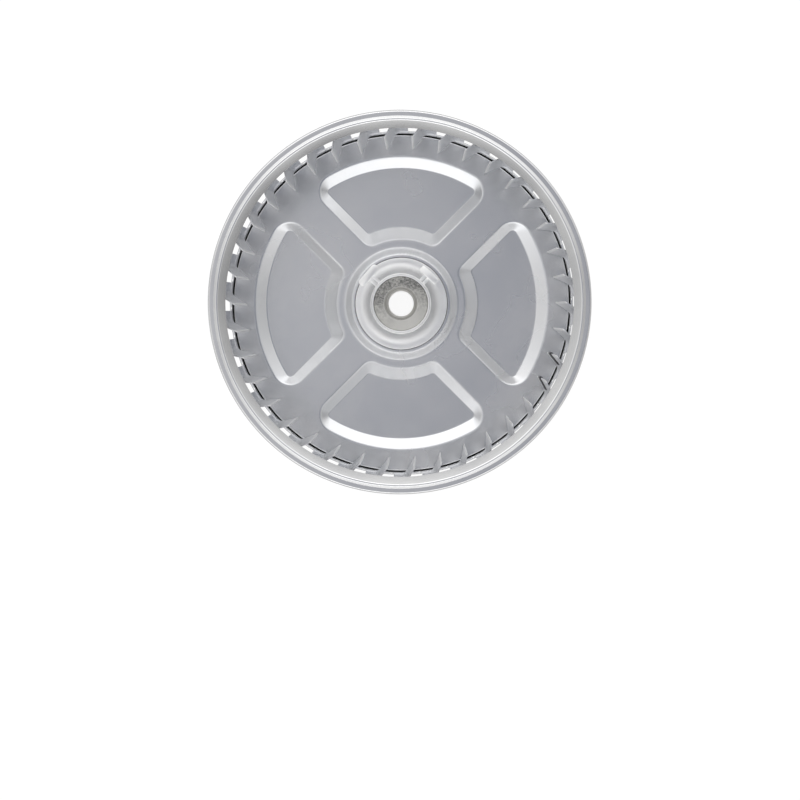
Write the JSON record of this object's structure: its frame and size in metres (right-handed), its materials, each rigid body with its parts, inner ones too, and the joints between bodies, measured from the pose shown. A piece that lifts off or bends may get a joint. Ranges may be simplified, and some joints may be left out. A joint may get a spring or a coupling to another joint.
{
  "type": "centrifugal fan impeller",
  "caption": "Drum-shaped centrifugal fan impeller with forward-curved blades lanced from one rolled strip, a pressed back plate, an inlet ring and a clamped hub.",
  "frame": {"origin": "on the wheel's axis, in the plane of the back plate's lip, which the wheel rests on", "axes": "+Z along the axis from the back plate to the open inlet; +Y towards twelve o'clock as the picture shows the inlet side"},
  "size_m": [0.18, 0.18, 0.08],
  "materials": {
    "back_plate": "galvanised, satin",
    "blade_strip": "galvanised, satin",
    "inlet_ring": "galvanised, satin",
    "hub_sleeve": "zinc plated, bright",
    "hub_bush": "turned, grainy end face",
    "spring_clamp": "zinc plated, bright",
    "balance_clip": "blackened spring steel"
  },
  "bodies": {
    "root": {"back_plate": "back_plate", "blade_strip": "blade_strip", "inlet_ring": "inlet_ring", "hub_sleeve": "hub_sleeve", "hub_bush": "hub_bush", "spring_clamp": "spring_clamp", "balance_clip_1": "balance_clip", "balance_clip_2": "balance_clip"}
  },
  "joints": []
}
